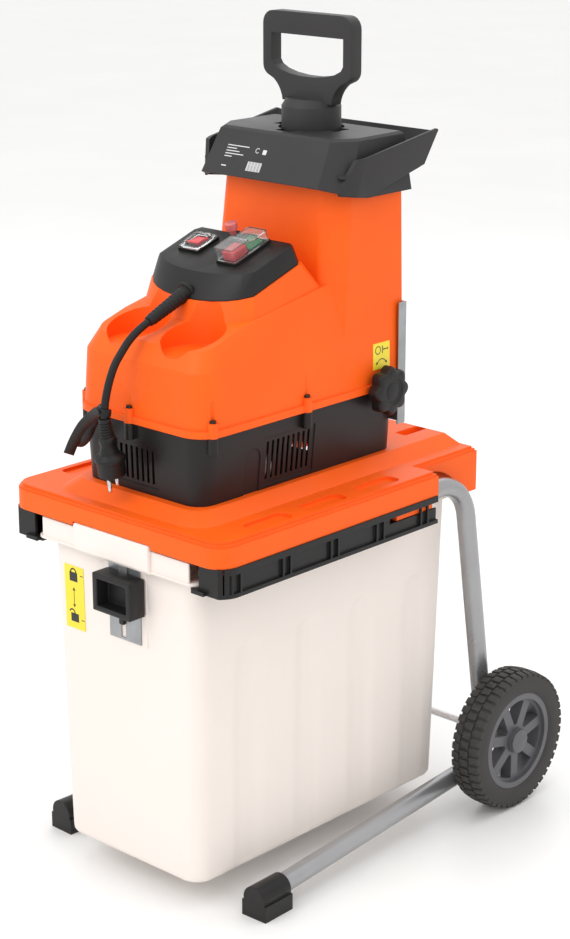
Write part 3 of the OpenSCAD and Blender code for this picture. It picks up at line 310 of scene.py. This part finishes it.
def along_axis(start, end):
    """For lathe: a place round the line from start to end."""
    start, end = Vector(start), Vector(end)
    w = (end - start).normalized()
    u = w.cross(Vector((1, 0, 0))).normalized()
    v = w.cross(u)
    return lambda a, p, q: start + w * a + u * p + v * q


# ------------------------------------------------------------------ power cord
CORD_RADIUS = 0.00475
ROUTE = [(-6, -236, 712), (-7, -246, 707), (-8, -256, 701), (-9, -266, 693), (-10, -276, 682), (-12, -285, 669),
         (-13, -292, 654), (-14, -297, 638), (-15, -300, 622), (-15, -301, 606)]
cord_points = catmull(ROUTE, 3)
curve = bpy.data.curves.new("power_cord_flex", "CURVE")
curve.dimensions = "3D"
spline = curve.splines.new("POLY")
spline.points.add(len(cord_points) - 1)
for q, p in zip(spline.points, cord_points):
    q.co = (*(p * MM + ORIGIN), 1)
curve.bevel_depth = CORD_RADIUS
curve.bevel_resolution = 5
flex = bpy.data.objects.new("power_cord_flex", curve)
bpy.context.scene.collection.objects.link(flex)
curve.materials.append(RUBBER)
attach(flex, "chassis")
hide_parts("power_cord")

# ------------------------------------------------------------------ the cord's boot: a flange, then nine ribs
BOOT0, BOOT1 = (-2, -171, 741), (-6, -236, 712)
RIBS, FIRST_RIB, RIB_PITCH = 9, 14, 6
BOOT_RADIUS, BOOT_TAPER = 9.0, 2.2
boot_len = (Vector(BOOT1) - Vector(BOOT0)).length
prof = [(0, 9), (2.6, 9), (2.6, 12.4), (3.2, 13), (6.6, 13), (7.2, 12.4), (7.2, 9.6), (9, 9.2)]
for k in range(RIBS):
    a = FIRST_RIB + k * RIB_PITCH
    r = BOOT_RADIUS - BOOT_TAPER * a / boot_len
    prof += [(a, r + 0.5), (a + 0.4, r + 0.55), (a + 3.2, r + 0.4), (a + 3.6, r - 0.15), (a + 5.4, r - 0.2)]
prof += [(boot_len - 1.0, 6.6), (boot_len - 0.2, 6.2), (boot_len, 5.0)]
v, f = lathe(prof, 40, along_axis(BOOT0, BOOT1))
boot = piece("cord_boot_ribbed", v, f, RUBBER, "chassis")
soften(boot, 0.3, 2)
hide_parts("cord_boot")

# ------------------------------------------------------------------ plug, hanging a little off plumb
PLUG_TILT, PLUG_TURN = math.radians(8), math.radians(109)
PLUG0 = Vector(ROUTE[-1])
DOWN = Vector((0, math.sin(PLUG_TILT), -math.cos(PLUG_TILT)))
SIDE = Vector((math.cos(PLUG_TURN), math.sin(PLUG_TURN), 0))
SIDE = (SIDE - DOWN * SIDE.dot(DOWN)).normalized()
DEPTH = DOWN.cross(SIDE)
GRIP_FROM, GRIP_TO, GRIP_OVAL = 24, 46, 0.86
PIN_OFFSET = 9.5


def plug_place(a, p, q):
    return PLUG0 + DOWN * a + SIDE * p + DEPTH * q


def plug_body_place(a, p, q):
    """The grip, between its two ends, is oval."""
    return plug_place(a, p, q * GRIP_OVAL if GRIP_FROM < a < GRIP_TO else q)


prof = [(0, 4.9), (0, 6.6), (0.8, 7.4)]
for k in range(6):  # the rings of the plug's own cord guard
    a, r = 2.5 + 3.4 * k, 0.25 * k
    prof += [(a, 7.6 + r), (a + 1.9, 7.6 + r), (a + 2.2, 6.7 + r), (a + 3.2, 6.7 + r)]
prof += [(23.5, 9.4), (24.5, 11.4), (26, 12), (29, 11.6), (33, 10.6), (36, 10.8), (40, 12.2), (44, 13.4), (47, 16.4),
         (48.4, 18.0), (49.4, 18.5), (53, 18.5), (54, 18.0), (54.6, 17.2), (71, 16.9), (71.8, 16.6), (72, 15.8)]
v, f = lathe(prof, 56, plug_body_place)
plug = piece("mains_plug", v, f, RUBBER, "chassis")
soften(plug, 0.3, 2)
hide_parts("plug_body")
pins = []
for s in (-PIN_OFFSET, PIN_OFFSET):
    pins.append(lathe([(71.5, 2.4), (88.4, 2.4), (90.2, 2.0), (91, 1.1), (91, 0.2)], 24,
                      lambda a, p, q, s=s: plug_place(a, p + s, q)))
v, f = joined(pins)
pin_piece = piece("plug_pins", v, f, ZINC, "chassis")

# ------------------------------------------------------------------ the strap that parks the plug
STRAP_UP = Vector((0.2, -0.5, 1))
STRAP_SECTION = ((1, 0.4), (0.94, 1), (-0.94, 1), (-1, 0.4), (-1, -0.4), (-0.94, -1), (0.94, -1), (1, -0.4))


def band(name, route, width, thick):
    """A flat strap along a smooth route, with its width roughly along STRAP_UP."""
    pts = catmull(route, 5)
    w, h = width / 2, thick / 2
    rings = []
    for i, p in enumerate(pts):
        t = (pts[min(i + 1, len(pts) - 1)] - pts[max(i - 1, 0)]).normalized()
        side = t.cross(STRAP_UP).normalized()
        across = side.cross(t).normalized()
        rings.append([p + across * w * a + side * h * b for a, b in STRAP_SECTION])
    v, f = loft(rings)
    return piece(name, v, f, RUBBER, "chassis")


strap_a = band("cord_strap_band", [(-17, -306.5, 610), (-23, -304, 613), (-40, -298, 603), (-62, -294, 586),
                                   (-82, -290, 563), (-96, -287, 543)], 13, 2.2)
strap_b = band("cord_strap_loop", [(-18, -302, 618), (-30, -294, 612), (-50, -288, 590), (-62, -286, 572),
                                   (-76, -284, 560), (-90, -282, 556), (-96, -284, 548)], 11, 1.8)
v, f = lathe([(-4.2, 5.0), (-4.2, 7.2), (-3.6, 7.6), (3.6, 7.6), (4.2, 7.2), (4.2, 5.0)], 36,
             along_axis((-15, -300.2, 613), (-15, -300.4, 612)))
strap_ring = piece("cord_strap_ring", v, f, RUBBER, "chassis")
soften(strap_ring, 0.5, 2)
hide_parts("cord_strap")

# ------------------------------------------------------------------ tyres
TYRE_FACE_X, TYRE_WIDTH, TYRE_RADIUS = 223, 44, 95
AXLE_Y, AXLE_Z = 215, 95
TYRE_PROFILE = [(2.5, 66), (2.5, 68), (1.2, 70), (0.4, 74), (0.0, 79), (0.2, 84), (1.0, 88.5), (3.5, 91.4),
                (7, 92.2), (14.5, 92.4), (29.5, 92.4), (37, 92.2), (40.5, 91.4), (43, 88.5), (43.8, 84), (44, 79),
                (43.6, 74), (42.8, 70), (41.5, 68), (41.5, 66)]
SHOULDER = TYRE_RADIUS - 2.2
BLOCKS, BLOCK_FILL = 46, 0.72  # blocks in a row round the tyre, and how much of their pitch they fill
# for each row of blocks, its section as (along the axle, radius), and how far round it starts, in blocks
TREAD = (([(0.7, SHOULDER), (13.4, TYRE_RADIUS), (13.4, 88.0), (0.7, 88.0)], 0.0),
         ([(15.6, TYRE_RADIUS), (28.4, TYRE_RADIUS), (28.4, 91.8), (15.6, 91.8)], 0.5),
         ([(30.6, TYRE_RADIUS), (43.3, SHOULDER), (43.3, 88.0), (30.6, 88.0)], 0.0))


def tyre(side, body):
    x0 = side * TYRE_FACE_X - (TYRE_WIDTH if side > 0 else 0)

    def place(a, p, q):
        return (x0 + a, AXLE_Y + p, AXLE_Z + q)

    parts = [lathe(TYRE_PROFILE, 144, place, wrap=True)]
    half = math.pi / BLOCKS * BLOCK_FILL
    for section, start in TREAD:
        for k in range(BLOCKS):
            mid = 2 * math.pi * (k + start) / BLOCKS
            parts.append(loft([[place(a, r * math.cos(mid + half * t), r * math.sin(mid + half * t))
                                for a, r in section] for t in (-1, -0.33, 0.33, 1)]))
    v, f = joined(parts)
    o = piece("tyre_tread_" + ("right" if side > 0 else "left"), v, f, TYRE, body)
    soften(o, 0.6, 2, 40)
    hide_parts("tyre_right" if side > 0 else "tyre_left")


tyre(1, "right_wheel")
tyre(-1, "left_wheel")

# ------------------------------------------------------------------ collection bin
BIN_FLOOR, BIN_TOP = 36, 435.6  # the heights that the walls spread between
# the half width, and where the front and the back wall stand: first at the floor, then what the top adds
BIN_HALF, BIN_FRONT, BIN_BACK = (119, 7), (-290.6, -6.4), (166, 10)
BIN_CORNER = 25
FLUTES = [(-203, 21), (-98, 20), (4, 20), (108, 20)]  # each flute's middle along the wall, and its half width
FLUTE_TOP, FLUTE_DEPTH, FLUTE_EDGE = 337, 3.2, 5.0


def outline(hw, y0, y1, r, per_corner=10, side_steps=60, end_steps=24):
    """Points round a rounded rectangle, counter-clockwise from the front right corner, with outward normals."""
    pts = []

    def run(p, q, n, steps):
        for k in range(steps):
            t = k / steps
            pts.append((p[0] + (q[0] - p[0]) * t, p[1] + (q[1] - p[1]) * t, n[0], n[1]))

    def corner(cx, cy, a0):
        for k in range(per_corner):
            a = math.radians(a0 + 90 * k / per_corner)
            pts.append((cx + r * math.cos(a), cy + r * math.sin(a), math.cos(a), math.sin(a)))

    run((hw, y0 + r), (hw, y1 - r), (1, 0), side_steps)
    corner(hw - r, y1 - r, 0)
    run((hw - r, y1), (-hw + r, y1), (0, 1), end_steps)
    corner(-hw + r, y1 - r, 90)
    run((-hw, y1 - r), (-hw, y0 + r), (-1, 0), side_steps)
    corner(-hw + r, y0 + r, 180)
    run((-hw + r, y0), (hw - r, y0), (0, -1), end_steps)
    corner(hw - r, y0 + r, 270)
    return pts


def ease(x):
    x = max(0.0, min(1.0, x))
    return x * x * (3 - 2 * x)


def flute(y, nx, z):
    """How far a side wall is pressed in at this place; the ends of the bin have no flutes."""
    if abs(nx) < 0.9:
        return 0.0
    depth = 0.0
    for middle, half in FLUTES:
        top = FLUTE_TOP - half  # above this the flute ends in a half circle
        d = abs(y - middle) if z < top else math.hypot(y - middle, z - top)
        depth = max(depth, ease((half - d) / FLUTE_EDGE))
    return FLUTE_DEPTH * depth * ease((z - BIN_FLOOR) / 6.0 + 0.6)


def bin_ring(z, inset, r_extra=0.0, press=True):
    """The bin's wall at one height, inset from its outside."""
    t = (z - BIN_FLOOR) / (BIN_TOP - BIN_FLOOR)
    hw, y0, y1 = (low + more * t for low, more in (BIN_HALF, BIN_FRONT, BIN_BACK))
    ring = []
    for x, y, nx, ny in outline(hw - inset, y0 + inset, y1 - inset, BIN_CORNER - inset + r_extra):
        d = flute(y, nx, z) if press else 0.0
        ring.append((x - nx * d, y - ny * d, z))
    return ring


def rim_ring(z, grow, r):
    return [(x, y, z) for x, y, _, _ in outline(138 + grow, -308 - grow, 182 + grow, r)]


outer = [bin_ring(36, 9, 3, False), bin_ring(36.4, 5, 2, False), bin_ring(38, 2, 1, False), bin_ring(41, 0.4)]
outer += [bin_ring(z, 0) for z in list(range(46, 300, 14)) + list(range(300, 344, 3)) + [352, 380, 410, 432]]
rim = [rim_ring(432.4, -2, 12), rim_ring(433.6, 0, 14), rim_ring(436.0, 0, 14), rim_ring(436.6, -0.6, 13.4)]
inner = [bin_ring(436.6, 1.2, 0, False), bin_ring(435.0, 2.6, 0, False)]
inner += [bin_ring(z, 3.0) for z in [410, 380, 352] + list(range(342, 298, -3)) + list(range(292, 44, -14))]
inner += [bin_ring(41, 3.6), bin_ring(39.4, 6, 1, False), bin_ring(39.0, 10, 3, False)]
v, f = loft(outer + rim + inner)
bin_piece = piece("bin_tub", v, f, MILKY, "bin")
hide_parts("collection_bin")


def bin_slab(name, lo, hi, width):
    v, f = box_mesh(lo, hi)
    o = piece(name, v, f, MILKY, "bin")
    soften(o, width, 3)


bin_slab("bin_front_band", (-127, -306.4, 434), (127, -303, 461), 1.4)

TAB_PROFILE = [(-305, 468), (-311, 468), (-312.2, 466), (-312.4, 446), (-311.6, 436), (-308, 431.8), (-304, 431.6)]
TAB_HALF, TAB_CHAMFER = 65, 1.5


def tab_end(x):
    """The tab's profile at its end, drawn in a little."""
    return [(x, y + (1.4 if y < -305 else 0), z - (1.0 if z > 440 else -1.0)) for y, z in TAB_PROFILE]


tab_rings = [[(x, y, z) for y, z in TAB_PROFILE] for x in (-TAB_HALF + TAB_CHAMFER, TAB_HALF - TAB_CHAMFER)]
v, f = loft([tab_end(-TAB_HALF)] + tab_rings + [tab_end(TAB_HALF)])
tab = piece("bin_pull_tab", v, f, MILKY, "bin")
soften(tab, 0.8, 2)
bin_slab("bin_latch_pad", (-26, -297.2, 330), (46, -293.6, 433.4), 1.0)

# ------------------------------------------------------------------ clear guard round the changeover rocker
PANEL_AT, PANEL_TILT = Vector((0, -145.9, 769.4)), math.radians(19)
ROCKER_X, ROCKER_Y = -45, 36


def on_panel(x, y, z):
    """A place given on the tilted control panel."""
    return PANEL_AT + Matrix.Rotation(PANEL_TILT, 3, "X") @ Vector((x, y, z))


def guard_ring(hw, hl, r, z):
    return [on_panel(ROCKER_X + x, ROCKER_Y + y, z) for x, y, _, _ in outline(hw, -hl, hl, r, 5, 2, 2)]


v, f = loft([guard_ring(16.5, 18.5, 3, 3.05), guard_ring(16.2, 18.2, 3, 5.2), guard_ring(14.0, 15.0, 3, 5.8),
             guard_ring(13.2, 14.2, 2.5, 9.4), guard_ring(12.4, 13.4, 2, 9.4), guard_ring(12.6, 13.6, 2, 3.05)],
            wrap=True)
guard = piece("changeover_guard", v, f, CLEAR, "chassis")
soften(guard, 0.3, 2)

# ------------------------------------------------------------------ knob
KNOB_X, KNOB_Y, KNOB_Z = 115, 48, 596
KNOB_RADIUS, LOBES = 29.2, 8
FACE = 0.7  # inside this part of the radius the knob's face is round
KNOB_PROFILE = [(0.0, 0.80), (0.6, 0.84), (2.0, 0.86), (3.0, 0.97), (4.0, 1.0), (14.0, 1.0), (16.5, 0.975),
                (18.2, 0.92), (19.0, 0.84), (19.0, 0.62), (18.2, 0.58), (17.4, 0.54), (17.2, 0.4), (18.0, 0.36),
                (18.4, 0.3), (18.5, 0.05)]


def lobe(t):
    """The knob's radius at an angle."""
    wave = math.cos(LOBES * t)
    return KNOB_RADIUS + 2.1 * wave - 0.9 * (0.5 - 0.5 * wave) ** 6


rings = []
for a, part in KNOB_PROFILE:
    ring = []
    for i in range(160):
        t = 2 * math.pi * i / 160
        r = (KNOB_RADIUS if part < FACE else lobe(t)) * part
        ring.append((KNOB_X + a, KNOB_Y + r * math.cos(t), KNOB_Z + r * math.sin(t)))
    rings.append(ring)
v, f = loft(rings)
knob = piece("knob_lobed", v, f, BLACK, "knob")
soften(knob, 0.3, 2, 50)
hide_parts("adjustment_knob")


# ------------------------------------------------------------------ labels: plain pictograms, no lettering
def plate_on(origin, u, w, name, shapes, look, body, lift=0.08, thick=0.06):
    """Flat shapes, given as outlines in a label's own millimetres, standing a hair off its face."""
    o3, u3, w3 = Vector(origin), Vector(u).normalized(), Vector(w).normalized()
    n3 = u3.cross(w3).normalized()
    parts = []
    for shape in shapes:
        k = len(shape)
        lower = [o3 + u3 * a + w3 * b + n3 * (lift - thick) for a, b in shape]
        upper = [o3 + u3 * a + w3 * b + n3 * lift for a, b in shape]
        faces = [tuple(range(k, 2 * k)), tuple(reversed(range(k)))]
        faces += [(i, (i + 1) % k, k + (i + 1) % k, k + i) for i in range(k)]
        parts.append((lower + upper, faces))
    v, f = joined(parts)
    return piece(name, v, f, look, body, smooth=False)


def bar(x0, y0, x1, y1):
    return [(x0, y0), (x1, y0), (x1, y1), (x0, y1)]


def arch(cx, cy, r0, r1, a0, a1, n=14):
    """Part of a flat ring between two radii, from a0 to a1 degrees."""
    def at(r, a):
        return (cx + r * math.cos(math.radians(a)), cy + r * math.sin(math.radians(a)))

    out = [at(r1, a0 + (a1 - a0) * k / n) for k in range(n + 1)]
    return out + [at(r0, a1 + (a0 - a1) * k / n) for k in range(n + 1)]


# the bin's label: a closed padlock, an open one, and an arrow between the two
taper = math.atan(-BIN_FRONT[1] / (BIN_TOP - BIN_FLOOR))
face_up = Vector((0, -math.sin(taper), math.cos(taper)))
label_low = Vector((-99, -297, BIN_TOP)) - face_up * 113 + Vector((0, -0.9, 0))
lock = [bar(9, 62, 23, 74), arch(16, 74, 3.6, 5.6, 0, 180), bar(10.4, 73.5, 12.4, 76), bar(19.6, 73.5, 21.6, 76)]
unlock = [bar(9, 9, 23, 20), arch(11.5, 20, 3.6, 5.6, -20, 165), bar(15.2, 17, 17.2, 21)]
arrow = [bar(15.5, 32, 16.5, 50), [(13.4, 50), (18.6, 50), (16, 54.5)], [(18.6, 32), (13.4, 32), (16, 27.5)]]
ticks = [bar(28, 71, 33, 72.2), bar(28, 13, 33, 14.2)]
ink = plate_on(label_low, (1, 0, 0), face_up, "bin_label_icons", lock + unlock + arrow + ticks, INK, "bin")

# the side label: a roller with its plate, and a turning arrow
lean = 6.4 / 257  # how far the housing's side leans in as it rises
side_up = Vector((-lean, 0, 1)).normalized()
side_low = Vector((110.4, 0, 594)) + side_up * 27 + Vector((0.8, 36, 0))
roller_icon = [arch(9, 24, 4.2, 5.4, 0, 359, 30), bar(16.5, 19, 18, 29), bar(20, 23.4, 27, 24.6),
               [(20.5, 22), (20.5, 26), (18.4, 24)], [(26.5, 22), (26.5, 26), (28.6, 24)]]
turn_icon = [arch(15.5, 3, 8.6, 9.8, 25, 155), [(5.2, 5.4), (9.2, 7.2), (5.6, 9.6)],
             [(25.8, 5.4), (21.8, 7.2), (25.4, 9.6)]]
ink2 = plate_on(side_low, (0, 1, 0), side_up, "side_label_icons", roller_icon + turn_icon, INK, "chassis")

# the rating print on the tray's front: plain bars where the text and the bar code would be
HOOD_LOW, HOOD_HIGH = Vector((0, -64, 839)), Vector((0, -25, 909))
hood_up = (HOOD_HIGH - HOOD_LOW).normalized()
plate_origin = HOOD_LOW + hood_up * 37
TEXT_X, TEXT_PITCH, CODE_X, CODE_PITCH = -68, 3.6, -26, 1.7
lines = [bar(TEXT_X, 22 - TEXT_PITCH * k, TEXT_X + width, 23.1 - TEXT_PITCH * k)
         for k, width in enumerate((36, 16, 22, 30, 12))]
lines += [bar(CODE_X + CODE_PITCH * k, -7, CODE_X + CODE_PITCH * k + (0.9 if k % 3 else 1.3), 5) for k in range(14)]
lines += [bar(-68, -5, -60, -3.6), arch(-17, 20, 2.6, 3.4, 40, 320), bar(-8, 16, -2, 22)]
marks = plate_on(plate_origin, (1, 0, 0), hood_up, "rating_marks", lines, WHITE_INK, "chassis", lift=0.25, thick=0.4)

# ------------------------------------------------------------------ stage
FLOOR_HALF = 40
me = bpy.data.meshes.new("floor")
me.from_pydata([(FLOOR_HALF * x, FLOOR_HALF * y, 0) for x, y in ((-1, -1), (1, -1), (1, 1), (-1, 1))], [],
               [(0, 1, 2, 3)])
me.materials.append(FLOOR)
floor = bpy.data.objects.new("floor", me)
bpy.context.scene.collection.objects.link(floor)


def area(name, where, to, size, power):
    light = bpy.data.lights.new(name, "AREA")
    light.shape = "RECTANGLE"
    light.size, light.size_y = size
    light.energy = power
    o = bpy.data.objects.new(name, light)
    o.location = where
    o.rotation_mode = "QUATERNION"
    o.rotation_quaternion = (Vector(to) - Vector(where)).to_track_quat("-Z", "Y")
    bpy.context.scene.collection.objects.link(o)


area("key", (-0.6, -3.0, 3.0), (0, 0, 0.6), (2.2, 2.2), 40)
area("fill", (3.4, -0.6, 2.2), (0, 0, 0.6), (2.4, 2.4), 8)
area("top", (0.2, 0.4, 3.4), (0, 0, 0.5), (3.0, 3.0), 24)
area("back", (-1.6, 2.8, 2.2), (0, 0, 0.7), (2.0, 2.0), 8)
world = bpy.data.worlds.new("studio")
bpy.context.scene.world = world
world.use_nodes = True
background = world.node_tree.nodes["Background"]
background.inputs[0].default_value = (1.0, 1.0, 1.0, 1)
background.inputs[1].default_value = 1.0
bpy.context.scene.view_settings.view_transform = "Standard"
